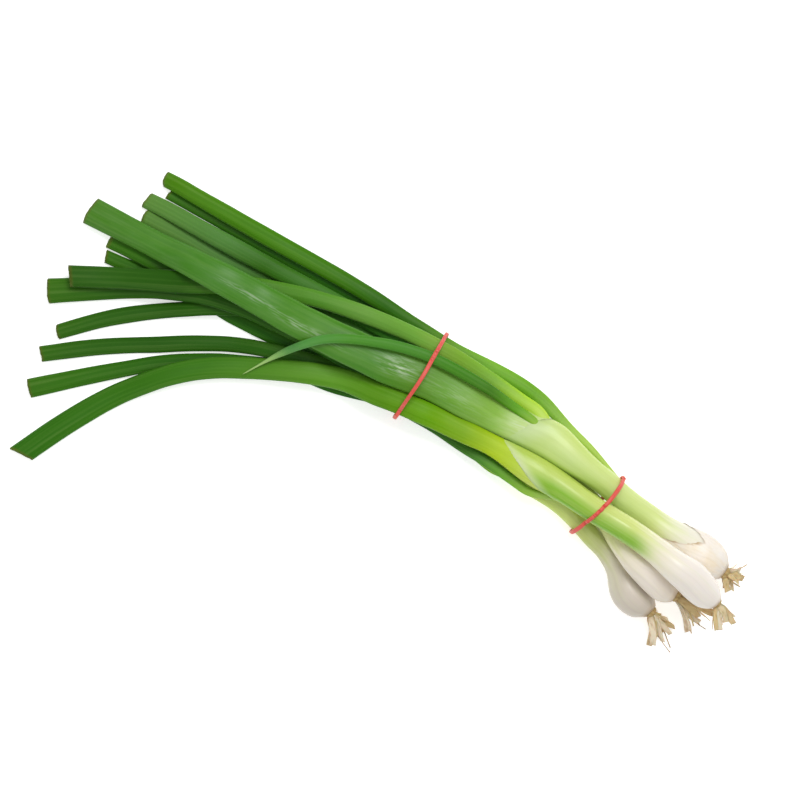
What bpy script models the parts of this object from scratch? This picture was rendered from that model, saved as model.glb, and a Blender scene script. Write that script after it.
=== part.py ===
"""Spring onion bunch: four onions with bulbs, cut roots and fourteen leaves, held by two rubber bands.

The bunch lies on its side. +X runs from the roots to the leaf tips, +Z is up and the surface is z = 0.
Every stalk and leaf follows a route of its own, and then one rule lets the whole bunch settle, so that
each piece rests on the surface and on its neighbours.
"""
import math
import random

import bmesh
import bpy
import numpy as np

MM = 0.001                    # one millimetre in Blender's metres

# Settling, in millimetres
STEP = 2.0                    # spacing of the stations along a route
CLEARANCE = 1.2               # aimed at between neighbouring pieces, of which at least a quarter is left
FALL = 0.03                   # how far a free station drops in one round
SIDEWAYS = 0.5                # share of a sideways push that is followed
PULL_BACK = 0.02              # share of a sideways shift that is undone in one round
STIFF = {"stalk": 0.45, "leaf": 0.3}
ROUNDS = 400
CALM_ROUNDS = 160             # the last rounds, without falling
PAIR_ROUNDS = 20              # rounds between two searches for neighbours
REACH = 4.0                   # how far apart two neighbours may be
BULB_STATIONS = 14            # stations from the root end that keep a straight line
CALM_STIFF = 0.3              # share of the stiffness in the calm rounds
JOINT_STATIONS = (4, 3)       # last stations of a stalk and first ones of its leaves, which may touch
PRESS = {"stalk": 0.5, "leaf": 0.2}  # how much of an underside's flat edge the surface takes off

# Bands
BAND_WIDTH = 2.0
BAND_THICK = 1.2
BAND_GAP = 0.35
BANDS = {                     # centre x, centre y, heading of the band's axis in degrees
    "band_lower": (-106.7, -1.7, -15.0),
    "band_upper": (-5.0, -15.5, -3.0),
}
BAND_BED = BAND_THICK + 2 * BAND_GAP  # what lies over a band starts at least this high

# Stalks: route of (x, y) from the root end to the neck, in millimetres
STALK_SIDES = 12
BULB_RING = 4.0               # spacing of the rings along a bulb, and along its stem
STEM_RING = 8.0
BULB_RUN = 36.0               # how far the close rings go
PLATE_RADIUS = 3.9
STALKS = {
    "onion_4": dict(route=[(-152.5, 29.2, 8), (-138, 22.2, 9), (-119, 13.2, 8.3), (-105, 7.2, 7.6),
                           (-84, 3.2, 7), (-58, 0.7, 6.8)],
                    bulb=8.9, belly=12.5, taper=11.5, stem=5.0, neck=(13.5, 9.0)),
    "onion_3": dict(route=[(-157, 16.6, 20), (-144, 15.4, 22), (-134, 13, 19), (-122.5, 8, 16),
                           (-106, -0.8, 10), (-84, -8, 8), (-58, -13, 7)],
                    bulb=8.4, belly=13.0, taper=11.0, stem=4.7, neck=(17.0, 9.0)),
    "onion_1": dict(route=[(-173.5, -3.6, 8.5), (-156, -6, 9.7), (-124, -10, 9.6), (-105, -12.8, 10),
                           (-82, -17, 13), (-62, -20, 16)],
                    bulb=10.2, belly=14.5, taper=12.0, stem=6.1, neck=(20.0, 9.0)),
    "onion_2": dict(route=[(-173.5, 10.4, 26), (-158, 7.2, 28), (-144, 4.4, 27), (-128, 1.9, 26),
                           (-106, 1.2, 22.5), (-84, -1, 20), (-63, -1, 18)],
                    bulb=8.2, belly=15.0, taper=14.0, stem=6.0, neck=(15.0, 9.0)),
}
NECK_LENGTH = 42.0            # stretch over which a stem widens into its flattened neck

# Leaves: route of (x, y, z, width) from the base to the cut end, and thickness as a share of the width
LEAF_SIDES = 8
LEAF_RING = 8.0
THINNEST = 3.0
WALL = 0.9
POCKET = 9.0                  # depth of the hollow at a cut end
LEAVES = {
    "onion_1_leaf_1": dict(flat=0.38, route=[
        (-60.5, -15, 17, 12), (-44, -16, 20, 16), (-20, -15, 22, 18), (10, -12.5, 23, 18), (50, -10, 22, 16),
        (90, -10, 21, 15), (125, -9, 17, 12.5), (170, -8, 11, 13.5)]),
    "onion_1_leaf_2": dict(flat=0.5, route=[
        (-60.5, -27, 17, 6), (-30, -30, 17, 7), (-4, -30.5, 17, 7.5), (30, -28, 15, 8), (60, -22, 16, 8),
        (86, -13, 20, 9), (115, 1, 17, 10.5), (147, 16, 11, 10), (163, 24, 9, 10)]),
    "onion_1_leaf_3": dict(flat=0.55, route=[
        (-89, -25.5, 12, 3.5), (-55, -34, 12, 6.5), (-6, -34, 11, 6), (40, -37, 8, 7.5), (95, -37.5, 8, 8),
        (146, -38.3, 6, 7.3)]),
    "onion_1_leaf_4": dict(flat=0.6, point=True, route=[
        (-59, -22.5, 22, 4), (-30, -25, 24, 5), (0, -24, 25, 5), (25, -17, 25, 4.5), (43, -8, 24, 4),
        (58, 8, 17, 3), (69, 25, 14, 2)]),
    "onion_2_leaf_1": dict(flat=0.5, route=[
        (-61.5, -2.5, 19, 9), (-26, -2, 19, 11), (-3, -1, 18, 11), (27, 4, 15, 10.5), (60, 17, 10, 10),
        (89, 33, 8, 10), (113, 57, 7, 10), (132, 87, 4, 10.5), (143, 109, 3, 11)]),
    "onion_2_leaf_2": dict(flat=0.5, route=[
        (-75, 8, 14, 4), (-57, 5.5, 13, 5), (-38, 3.4, 11, 5), (-19, 2, 9, 5.5), (-4, 1.5, 6, 6), (26, 6.5, 4, 7),
        (65, 16.5, 3, 7.5), (95, 31.5, 2, 7.5), (121, 51, 2, 7.5), (155, 80, 3, 9)]),
    "onion_2_leaf_3": dict(flat=0.5, route=[
        (-61, 1, 14.8, 5), (-5, -11, 10, 7), (27, -5, 9, 8), (70, -5, 8, 8), (122, -1.5, 7, 8),
        (156, 0, 6, 7.5)]),
    "onion_3_leaf_1": dict(flat=0.5, route=[
        (-56, -17, 9.5, 7), (0, -25, 11, 8), (52, -26, 7, 8), (95, -25.5, 6, 8.5), (149, -25, 5, 8)]),
    "onion_3_leaf_2": dict(flat=0.5, route=[
        (-56, -9, 9.5, 6.5), (0, -18, 10, 8), (60, -19, 4, 8), (99, -18.7, 3, 8), (147, -18, 2, 7.5)]),
    "onion_3_leaf_3": dict(flat=0.5, route=[
        (-56, -18, 4.5, 6), (-4, -27, 5, 7), (18, -31, 4, 7), (60, -33, 2, 6.5), (103, -33, 2, 5.8),
        (142, -33, 2, 5)]),
    "onion_3_leaf_4": dict(flat=0.5, route=[
        (-56, -10, 4.5, 6), (-4, -15, 4.5, 7), (40, -3, 3, 7), (65, 1, 2, 7), (93, 1.5, 2, 7),
        (120, 4, 2, 6.5), (154, 6.5, 2, 6)]),
    "onion_4_leaf_1": dict(flat=0.45, route=[
        (-56, 0.5, 9.5, 7), (-30, -3, 12, 7.5), (-5, -7, 14, 8), (56, -5, 15, 9), (87, -3, 15, 9),
        (125, 9, 11, 10), (153, 25, 6, 11), (169, 35, 4, 12)]),
    "onion_4_leaf_2": dict(flat=0.5, route=[
        (-56, -1.5, 4.5, 6), (0, -5, 9, 7), (50, -7, 11, 7), (86, -1.5, 11, 7), (110, 12.2, 8, 7),
        (138, 32.5, 3, 7.5), (156, 50, 3, 7)]),
    "onion_4_leaf_3": dict(flat=0.5, route=[
        (-56, 4.5, 4.5, 6), (0, -5, 4.5, 7), (40, 2, 4, 7), (69, 11, 3, 7), (100, 26, 2, 7.5),
        (136, 47, 2, 7.5), (158, 63, 2, 7.5)]),
}

# Roots
ROOTS_EACH = {"onion_1": 13, "onion_2": 11, "onion_3": 12, "onion_4": 14}
ROOT_FAN = {                  # middle heading in plan in degrees, half spread, mean length in millimetres
    "onion_1": (171, 48, 9.0),
    "onion_2": (137, 22, 11.5),
    "onion_3": (168, 17, 19.0),
    "onion_4": (158, 23, 13.5),
}
ROOT_RADIUS = (0.6, 0.38)     # at the plate and at the tip
ROOT_SIDES = 5
ROOT_JOINTS = 5
ROOT_CLEAR = 0.7
ROOT_START = 1.6              # rootlets start this deep in the plate, within a share of its radius
ROOT_SPREAD = 0.55
ROOT_BEYOND = 2.0             # every later joint lies at least this far beyond the bulb's end
ROOT_LENGTHS = (0.6, 1.15)    # shares of the mean length
ROOT_TURN = 0.5               # most that a rootlet turns aside, in radians
ROOT_RISE = (-0.35, 0.25)     # slope at the plate
ROOT_DROOP = 0.5              # how much steeper it falls at its tip
ROOT_LOWEST = (0.8, 1.8)      # height at which a rootlet stops falling
ROOT_TRIES = 4000
ROOT_SEED = 8
THREAD_RADIUS = 0.2           # room kept round each rootlet of the same tuft
PLATE_SIDES = 10
PLATE_PROFILE = ((0.35, 0.8), (1.2, 0.95), (2.6, 0.8), (3.4, 0.45))  # distance out, share of its radius

COLOURS = {                   # linear red, green, blue, with roughness
    "stalk": ((0.83, 0.80, 0.62), 0.35),
    "leaf": ((0.06, 0.22, 0.02), 0.4),
    "young_leaf": ((0.16, 0.36, 0.04), 0.4),
    "roots": ((0.58, 0.42, 0.22), 0.8),
    "band": ((0.70, 0.10, 0.07), 0.5),
}


def clear_scene():
    for item in list(bpy.data.objects):
        bpy.data.objects.remove(item, do_unlink=True)


def material(name):
    colour, roughness = COLOURS[name]
    made = bpy.data.materials.get(name) or bpy.data.materials.new(name)
    made.use_nodes = True
    shader = made.node_tree.nodes["Principled BSDF"]
    shader.inputs["Base Color"].default_value = (*colour, 1.0)
    shader.inputs["Roughness"].default_value = roughness
    shader.inputs["Metallic"].default_value = 0.0
    return made


def smooth_route(points, step=STEP, ease=6):
    """Stations every step along a smooth curve through the points; any columns after x and y follow."""
    points = np.array(points, float)
    chord = np.r_[0, np.cumsum(np.hypot(*np.diff(points[:, :2], axis=0).T))]
    slope = np.gradient(points, chord, axis=0)
    fine = np.arange(0, chord[-1], 0.5)
    index = np.clip(np.searchsorted(chord, fine, "right") - 1, 0, len(points) - 2)
    span = (chord[index + 1] - chord[index])[:, None]
    t = (fine - chord[index])[:, None] / span
    curve = ((2 * t**3 - 3 * t**2 + 1) * points[index] + (t**3 - 2 * t**2 + t) * span * slope[index]
             + (3 * t**2 - 2 * t**3) * points[index + 1] + (t**3 - t**2) * span * slope[index + 1])
    length = np.r_[0, np.cumsum(np.hypot(*np.diff(curve[:, :2], axis=0).T))]
    stations = np.linspace(0, length[-1], int(round(length[-1] / step)) + 1)
    spaced = np.stack([np.interp(stations, length, column) for column in curve.T], axis=1)
    for _ in range(ease):
        spaced[1:-1] = (spaced[:-2] + 2 * spaced[1:-1] + spaced[2:]) / 4
    return spaced


def side_of(xy):
    """Unit normals of the plan route, to its left."""
    along = np.gradient(xy, axis=0)
    along /= np.linalg.norm(along, axis=1)[:, None]
    return np.stack([-along[:, 1], along[:, 0]], axis=1)


class Strand:
    """A stalk or a leaf: its stations, the section's width and thickness there, and its side vectors."""

    def __init__(self, kind, stations, width, thick):
        self.kind = kind
        self.path = stations[:, :3].copy()
        self.side = side_of(stations[:, :2])
        self.width = width
        self.thick = thick

    def section(self, sides):
        """Offsets across and up of a section's corners, with a flat edge at top and bottom."""
        angles = (np.arange(sides) + 0.5) * 2 * math.pi / sides - math.pi / 2
        across = self.width[:, None] / 2 * np.cos(angles)
        upward = self.thick[:, None] / 2 * np.sin(angles)
        return across, upward

    def lowest(self):
        """Centre heights at which the flat edge underneath is pressed a little into the surface."""
        flat_edge = math.cos(math.pi / (STALK_SIDES if self.kind == "stalk" else LEAF_SIDES))
        return self.thick / 2 * flat_edge - PRESS[self.kind]

    def corners(self, sides):
        """The section corners of every station, as an array of stations by corners by 3."""
        across, upward = self.section(sides)
        plan = self.path[:, None, :2] + across[:, :, None] * self.side[:, None, :]
        height = np.maximum(self.path[:, None, 2] + upward, 0.0)
        return np.dstack([plan, height])

    def balls(self):
        """Balls side by side that fill each section: station, offset across and radius."""
        found = []
        for k, (width, thick) in enumerate(zip(self.width, self.thick)):
            radius = min(width, thick) / 2
            reach = width / 2 - radius
            count = 1 + math.ceil(2 * reach / radius)
            found += [(k, offset, radius) for offset in np.linspace(-reach, reach, count)]
        return np.array(found)


def bed(stations):
    """Height of the surface under each station, raised where a band passes under the bunch."""
    raised = np.zeros(len(stations))
    for x, y, heading in BANDS.values():
        axis = math.radians(heading)
        off = (stations[:, 0] - x) * math.cos(axis) + (stations[:, 1] - y) * math.sin(axis)
        raised[np.abs(off) < BAND_WIDTH / 2 + LEAF_RING] = BAND_BED + PRESS["stalk"]
    return raised


def close_pairs(centres, owner, radius, skip):
    """Pairs of balls of different strands that are within reach of each other."""
    first, second = [], []
    order = np.argsort(centres[:, 0], kind="stable")
    x = centres[order, 0]
    widest = 2 * radius.max() + REACH
    for k, ball in enumerate(order):
        ahead = order[k + 1:np.searchsorted(x, x[k] + widest)]
        ahead = ahead[owner[ahead] != owner[ball]]
        gap = np.linalg.norm(centres[ahead] - centres[ball], axis=1) - radius[ahead] - radius[ball]
        ahead = ahead[gap < REACH]
        first.append(np.full(len(ahead), ball))
        second.append(ahead)
    first, second = np.concatenate(first), np.concatenate(second)
    keep = skip[first] * skip[second] != -1
    return first[keep], second[keep]


def settle(stalks, leaves):
    """Let the bunch sag: each round drops and straightens every strand, then pushes touching balls apart."""
    strands = list(stalks.values()) + list(leaves.values())
    names = list(stalks) + list(leaves)
    starts = np.r_[0, np.cumsum([len(s.path) for s in strands])]
    path = np.concatenate([s.path for s in strands])
    home = path[:, :2].copy()
    side = np.concatenate([s.side for s in strands])
    floor = np.concatenate([s.lowest() for s in strands])
    balls = [s.balls() for s in strands]
    owner = np.concatenate([np.full(len(b), k) for k, b in enumerate(balls)])
    station = np.concatenate([b[:, 0].astype(int) + starts[k] for k, b in enumerate(balls)])
    offset = np.concatenate([b[:, 1] for b in balls])
    radius = np.concatenate([b[:, 2] for b in balls])
    skip = joint_marks(balls, strands)
    pins = []
    for k, name in enumerate(names):
        if name in leaves:
            neck = starts[names.index(name[:7]) + 1] - 1
            pins.append((starts[k], neck, path[starts[k]] - path[neck]))
    for turn in range(ROUNDS):
        calm = turn >= ROUNDS - CALM_ROUNDS
        if not calm:
            path[:, 2] -= FALL
        for k, strand in enumerate(strands):
            run = slice(starts[k], starts[k + 1])
            straighten(path[run], home[run], STIFF[strand.kind] * (CALM_STIFF if calm else 1.0))
            if strand.kind == "stalk":
                hold_straight(path[run][:BULB_STATIONS])
        for leaf, neck, apart in pins:
            path[leaf] = path[neck] + apart
        centres = path[station]
        centres[:, :2] += offset[:, None] * side[station]
        if turn % PAIR_ROUNDS == 0:
            first, second = close_pairs(centres, owner, radius, skip)
        away = centres[first] - centres[second]
        apart = np.linalg.norm(away, axis=1)
        push = radius[first] + radius[second] + CLEARANCE - apart
        touch = push > 0
        shove = away[touch] / apart[touch, None] * push[touch, None] / 2
        total = np.zeros_like(path)
        count = np.zeros(len(path))
        for who, sign in ((first, 1), (second, -1)):
            np.add.at(total, station[who[touch]], sign * shove)
            np.add.at(count, station[who[touch]], 1)
        total /= np.maximum(count, 1)[:, None]
        path[:, :2] += SIDEWAYS * total[:, :2]
        path[:, 2] += total[:, 2]
        path[:, 2] = np.maximum(path[:, 2], floor + bed(path))
    for k, strand in enumerate(strands):
        strand.path = path[starts[k]:starts[k + 1]].copy()
    print("closest", round(float(-(push - CLEARANCE).max()), 3))


def straighten(path, home, share):
    """Move each station towards the middle of its neighbours, and sideways back to its plan route."""
    path[1:-1, 2] += share * ((path[:-2, 2] + path[2:, 2]) / 2 - path[1:-1, 2])
    shift = path[:, :2] - home
    shift[1:-1] += share * ((shift[:-2] + shift[2:]) / 2 - shift[1:-1])
    path[:, :2] = home + shift * (1 - PULL_BACK)


def hold_straight(path):
    """A bulb doesn't bend: its stations keep to the line that fits their heights best."""
    places = np.arange(len(path))
    path[:, 2] = np.polyval(np.polyfit(places, path[:, 2], 1), places)


def joint_marks(balls, strands):
    """Marks a stalk's last balls with 1 and a leaf's first ones with -1: such a pair isn't pushed apart."""
    marks = []
    for found, strand in zip(balls, strands):
        if strand.kind == "stalk":
            marks.append(np.where(found[:, 0] >= len(strand.path) - JOINT_STATIONS[0], 1, 0))
        else:
            marks.append(np.where(found[:, 0] < JOINT_STATIONS[1], -1, 0))
    return np.concatenate(marks)


def bulb_radius(distance, bulb, belly, taper, stem):
    """Radius along a stalk: a quarter oval from the plate to the belly, then a bell curve to the stem."""
    below = np.clip(distance / belly, 0, 1)
    rounded = PLATE_RADIUS + (bulb - PLATE_RADIUS) * np.sqrt(1 - (1 - below) ** 2)
    beyond = stem + (bulb - stem) * np.exp(-(np.maximum(distance - belly, 0) / taper) ** 2)
    return np.where(distance < belly, rounded, beyond)


def make_stalk(route, bulb, belly, taper, stem, neck):
    stations = smooth_route(route)
    distance = np.arange(len(stations)) * STEP
    radius = bulb_radius(distance, bulb, belly, taper, stem)
    share = np.clip((distance - (distance[-1] - NECK_LENGTH)) / NECK_LENGTH, 0, 1)
    share = share * share * (3 - 2 * share)
    width = 2 * radius * (1 - share) + neck[0] * share
    thick = 2 * radius * (1 - share) + neck[1] * share
    return Strand("stalk", stations, width, thick)


def make_leaf(route, flat):
    stations = smooth_route(route)
    width = stations[:, 3]
    thick = np.maximum(width * flat, np.minimum(THINNEST, width * 0.8))
    return Strand("leaf", stations, width, thick)


def lay_bunch():
    stalks = {name: make_stalk(**sizes) for name, sizes in STALKS.items()}
    leaves = {name: make_leaf(sizes["route"], sizes["flat"]) for name, sizes in LEAVES.items()}
    settle(stalks, leaves)
    return stalks, leaves


def mesh_object(name, vertices, faces, look, sharp=50.0):
    mesh = bpy.data.meshes.new(name)
    mesh.from_pydata([tuple(v) for v in np.asarray(vertices) * MM], [], faces)
    mesh.materials.append(material(look))
    mesh.shade_smooth()
    mesh.set_sharp_from_angle(angle=math.radians(sharp))
    made = bpy.data.objects.new(name, mesh)
    bpy.context.collection.objects.link(made)
    return made


def ring_faces(first, second, sides):
    return [(first + k, first + (k + 1) % sides, second + (k + 1) % sides, second + k) for k in range(sides)]


def tube(name, rings, look, sharp=50.0):
    """A closed skin over a list of rings with the same number of corners, capped at both ends."""
    sides = len(rings[0])
    faces = [tuple(reversed(range(sides)))]
    for k in range(len(rings) - 1):
        faces += ring_faces(k * sides, (k + 1) * sides, sides)
    last = (len(rings) - 1) * sides
    faces.append(tuple(range(last, last + sides)))
    return mesh_object(name, np.concatenate(rings), faces, look, sharp)


def stations_at(strand, distances):
    return sorted({min(int(round(d / STEP)), len(strand.path) - 1) for d in distances})


def stalk_rings(strand):
    """Close rings along the bulb, wider ones along the stem."""
    length = STEP * (len(strand.path) - 1)
    bulb = np.arange(0, BULB_RUN, BULB_RING)
    stem = np.arange(BULB_RUN, length - BULB_RING, STEM_RING)
    distances = [*bulb, *stem, length]
    return strand.corners(STALK_SIDES)[stations_at(strand, distances)]


def leaf_rings(strand):
    length = STEP * (len(strand.path) - 1)
    count = int(round(length / LEAF_RING))
    return strand.corners(LEAF_SIDES)[stations_at(strand, np.linspace(0, length, count + 1))]


def build_leaf(name, strand, pointed):
    """A flattened tube, hollow at its cut end; the young leaf ends in a solid point."""
    rings = list(leaf_rings(strand))
    corners = strand.corners(LEAF_SIDES)
    if not pointed:
        last = len(strand.path) - 1
        for depth in (0.0, POCKET):
            k = last - int(depth / STEP)
            middle = corners[k].mean(axis=0)
            shrink = np.array([1 - 2 * WALL / strand.width[k]] * 2 + [1 - 2 * WALL / strand.thick[k]])
            rings.append(middle + (corners[k] - middle) * shrink)
    return tube(name, rings, "young_leaf" if pointed else "leaf")


def hull(points):
    """Convex outline of points in a plane, counter-clockwise."""
    points = sorted(map(tuple, points))
    outline = []
    for run in (points, points[::-1]):
        part = []
        for p in run:
            while len(part) > 1 and cross(part[-2], part[-1], p) <= 0:
                part.pop()
            part.append(p)
        outline += part[:-1]
    return np.array(outline)


def cross(a, b, c):
    return (b[0] - a[0]) * (c[1] - a[1]) - (b[1] - a[1]) * (c[0] - a[0])


def grown(outline, distance):
    """A convex outline pushed out by a distance, with round corners."""
    angles = np.arange(24) * math.pi / 12
    circle = distance * np.stack([np.cos(angles), np.sin(angles)], axis=1)
    return hull((outline[:, None, :] + circle[None]).reshape(-1, 2))


def crossings(rings, along, plane):
    """Where the edges of a skin, and the diagonals of its faces, meet a plane."""
    edges = [(rings[:-1], np.roll(rings[1:], turn, axis=1)) for turn in (-1, 0, 1)]
    edges.append((rings, np.roll(rings, 1, axis=1)))
    found = []
    for start, stop in edges:
        near, far = along(start) - plane, along(stop) - plane
        meets = near * far < 0
        share = (near[meets] / (near[meets] - far[meets]))[:, None]
        found.append(start[meets] * (1 - share) + stop[meets] * share)
    return np.concatenate(found)


def build_band(name, skins):
    """A flat rubber ring pulled tight round the bunch: the outline of what passes through it."""
    x, y, heading = BANDS[name]
    axis = np.array([math.cos(math.radians(heading)), math.sin(math.radians(heading))])
    across = np.array([-axis[1], axis[0]])
    half = BAND_WIDTH / 2

    def along(points):
        return (points[..., :2] - (x, y)) @ axis

    found = []
    for rings in skins:
        inside = rings[np.abs(along(rings)) <= half]
        found += [inside, crossings(rings, along, -half), crossings(rings, along, half)]
    found = np.concatenate(found)
    outline = hull(np.column_stack([(found[:, :2] - (x, y)) @ across, found[:, 2]]))
    inner = grown(outline, BAND_GAP)
    outer = grown(outline, BAND_GAP + BAND_THICK)
    sides = len(inner)
    rings = []
    for loop, sideways in ((inner, -half), (outer, -half), (outer, half), (inner, half)):
        plan = (x, y) + sideways * axis + loop[:, :1] * across
        rings.append(np.column_stack([plan, loop[:, 1]]))
    faces = []
    for k in range(4):
        faces += ring_faces(k * sides, (k + 1) % 4 * sides, sides)
    return mesh_object(name, np.concatenate(rings), faces, "band")


def root_path(rng, start, heading, length):
    """Joints of one rootlet: it leaves near the plate's axis, turns to its heading and droops."""
    turn = rng.uniform(-ROOT_TURN, ROOT_TURN)
    rise = rng.uniform(*ROOT_RISE)
    lowest = rng.uniform(*ROOT_LOWEST)
    joints = [np.array(start)]
    stride = length / (ROOT_JOINTS - 1)
    for k in range(1, ROOT_JOINTS):
        share = k / (ROOT_JOINTS - 1)
        angle = heading + turn * share
        slope = rise - ROOT_DROOP * share
        step = np.array([math.cos(angle), math.sin(angle), slope])
        joints.append(joints[-1] + stride * step / np.linalg.norm(step))
        joints[-1][2] = max(joints[-1][2], lowest)
    return np.array(joints)


def along_path(path):
    """Points a fifth of a stride apart."""
    return np.concatenate([path[:-1] + (path[1:] - path[:-1]) * t for t in np.linspace(0, 1, 6)])


def clears(path, obstacles):
    """Whether a rootlet keeps clear of spheres given as x, y, z, radius."""
    gaps = np.linalg.norm(along_path(path)[:, None] - obstacles[None, :, :3], axis=2) - obstacles[None, :, 3]
    return gaps.min(initial=ROOT_CLEAR * 9) > ROOT_RADIUS[0] + ROOT_CLEAR


def thin_tube(name, path, look):
    along = np.gradient(path, axis=0)
    along /= np.linalg.norm(along, axis=1)[:, None]
    side = np.cross((0, 0, 1.0), along)
    side /= np.linalg.norm(side, axis=1)[:, None]
    lift = np.cross(along, side)
    radius = np.linspace(*ROOT_RADIUS, len(path))
    turn = np.arange(ROOT_SIDES)[:, None] * 2 * math.pi / ROOT_SIDES
    rings = [centre + r * (np.cos(turn) * s + np.sin(turn) * up)
             for centre, r, s, up in zip(path, radius, side, lift)]
    return tube(name, rings, look)


def spheres_of(strand):
    return np.column_stack([strand.path, np.maximum(strand.width, strand.thick) / 2])


def own_balls(paths):
    """Balls along the free stretches of a tuft's rootlets, smaller than life so that they may lie close."""
    points = [along_path(path[1:]) for path in paths]
    balls = [np.column_stack([p, np.full(len(p), THREAD_RADIUS)]) for p in points]
    return np.concatenate(balls + [np.zeros((0, 4))])


def build_roots(name, strand, obstacles, rng):
    """The basal plate with its rootlets, fused into one body."""
    plan = np.array([-strand.side[0, 1], strand.side[0, 0]])
    end = strand.path[0]
    side = np.array([-plan[1], plan[0], 0.0])
    angles = np.arange(PLATE_SIDES) * 2 * math.pi / PLATE_SIDES
    rings = []
    for out, share in PLATE_PROFILE:
        radius = PLATE_RADIUS * share
        ring = radius * (np.cos(angles)[:, None] * side + np.sin(angles)[:, None] * np.array([0, 0, 1.0]))
        centre = end + out * np.array([*plan, 0.0])
        rings.append(centre - ring)
    plate = tube(name + "_roots", rings, "roots")
    tuft = bpy.data.collections.new(name + "_tuft")
    bpy.context.scene.collection.children.link(tuft)
    heading, spread, length = ROOT_FAN[name]
    paths = []
    tries = 0
    while len(paths) < ROOTS_EACH[name] and tries < ROOT_TRIES:
        tries += 1
        turned = rng.uniform(0, 2 * math.pi)
        off = PLATE_RADIUS * ROOT_SPREAD * math.sqrt(rng.random())
        across = off * (math.cos(turned) * side + math.sin(turned) * np.array([0, 0, 1.0]))
        start = end + ROOT_START * np.array([*plan, 0.0]) + across
        angle = math.radians(heading + rng.uniform(-spread, spread))
        path = root_path(rng, start, angle, length * rng.uniform(*ROOT_LENGTHS))
        beyond = (path[1:, :2] - end[:2]) @ plan
        if beyond.min() > ROOT_BEYOND and clears(path[1:], obstacles) and clears(path[2:], own_balls(paths)):
            paths.append(path)
    for k, path in enumerate(paths):
        rootlet = thin_tube(f"{name}_rootlet_{k}", path, "roots")
        bpy.context.collection.objects.unlink(rootlet)
        tuft.objects.link(rootlet)
    join = plate.modifiers.new("rootlets", "BOOLEAN")
    join.operation = "UNION"
    join.operand_type = "COLLECTION"
    join.collection = tuft
    join.solver = "EXACT"
    joined = bpy.data.meshes.new_from_object(plate.evaluated_get(bpy.context.evaluated_depsgraph_get()))
    plate.modifiers.clear()
    plate.data = joined
    for rootlet in list(tuft.objects):
        bpy.data.objects.remove(rootlet, do_unlink=True)
    bpy.data.collections.remove(tuft)
    joined.shade_smooth()
    print(name, "rootlets", len(paths), "tries", tries)
    return plate, np.concatenate([np.column_stack([p, np.full(len(p), ROOT_RADIUS[0])]) for p in paths])


def centre_on_footprint(objects):
    """Move the bunch so that the middle of its footprint is the origin and its lowest point is at zero."""
    corners = np.concatenate([[v.co for v in item.data.vertices] for item in objects])
    low, high = corners.min(axis=0), corners.max(axis=0)
    shift = -np.array([(low[0] + high[0]) / 2, (low[1] + high[1]) / 2, low[2]])
    for item in objects:
        for vertex in item.data.vertices:
            vertex.co = vertex.co + type(vertex.co)(shift)
    print("footprint", np.round((high - low) * 1000, 1), "shift", np.round(shift * 1000, 2))


def main():
    clear_scene()
    stalks, leaves = lay_bunch()
    objects = [tube(name + "_stalk", stalk_rings(strand), "stalk") for name, strand in stalks.items()]
    for name, strand in leaves.items():
        objects.append(build_leaf(name, strand, LEAVES[name].get("point", False)))
    skins = [stalk_rings(s) for s in stalks.values()] + [leaf_rings(s) for s in leaves.values()]
    for name in BANDS:
        objects.append(build_band(name, skins))
    bodies = {name: spheres_of(strand) for name, strand in stalks.items()}
    rng = random.Random(ROOT_SEED)
    placed = []
    for name, strand in stalks.items():
        others = [body for other, body in bodies.items() if other != name] + placed
        plate, tips = build_roots(name, strand, np.concatenate(others), rng)
        objects.append(plate)
        placed.append(tips)
        end = bodies[name][:1].copy()
        end[:, 3] = PLATE_RADIUS
        placed.append(end)
    centre_on_footprint(objects)


main()
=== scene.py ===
import math

import bmesh
import bpy
import numpy as np
from mathutils import Matrix, Vector


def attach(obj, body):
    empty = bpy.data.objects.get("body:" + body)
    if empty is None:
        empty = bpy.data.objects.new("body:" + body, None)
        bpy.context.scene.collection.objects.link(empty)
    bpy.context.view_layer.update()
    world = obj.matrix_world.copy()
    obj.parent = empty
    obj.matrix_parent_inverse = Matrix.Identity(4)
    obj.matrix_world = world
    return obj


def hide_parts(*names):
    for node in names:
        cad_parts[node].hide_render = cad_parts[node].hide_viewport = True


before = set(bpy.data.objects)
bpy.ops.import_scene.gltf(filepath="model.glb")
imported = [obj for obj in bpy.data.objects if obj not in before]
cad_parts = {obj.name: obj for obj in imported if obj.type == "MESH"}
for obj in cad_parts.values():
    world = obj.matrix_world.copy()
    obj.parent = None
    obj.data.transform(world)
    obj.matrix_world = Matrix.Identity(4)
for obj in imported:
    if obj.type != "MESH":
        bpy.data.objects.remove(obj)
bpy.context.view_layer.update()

mm = 0.001
floorGap = 0.05 * mm  # how far above the floor every skin stays


def say(text):
    print("scene:", text)


def linear(code):
    # sRGB hex to linear: c/12.92 below 0.04045, else ((c + 0.055)/1.055)^2.4
    parts = [int(code[k:k + 2], 16) / 255 for k in (1, 3, 5)]
    return [c / 12.92 if c <= 0.04045 else ((c + 0.055) / 1.055) ** 2.4 for c in parts] + [1.0]


def smoothStep(low, high, x):
    t = np.clip((x - low) / (high - low), 0, 1)
    return t * t * (3 - 2 * t)


def along(path):
    # running length of a polyline
    return np.r_[0, np.cumsum(np.linalg.norm(np.diff(path, axis=0), axis=1))]


def unit(vectors):
    return vectors / np.maximum(np.linalg.norm(vectors, axis=-1, keepdims=True), 1e-12)


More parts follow.
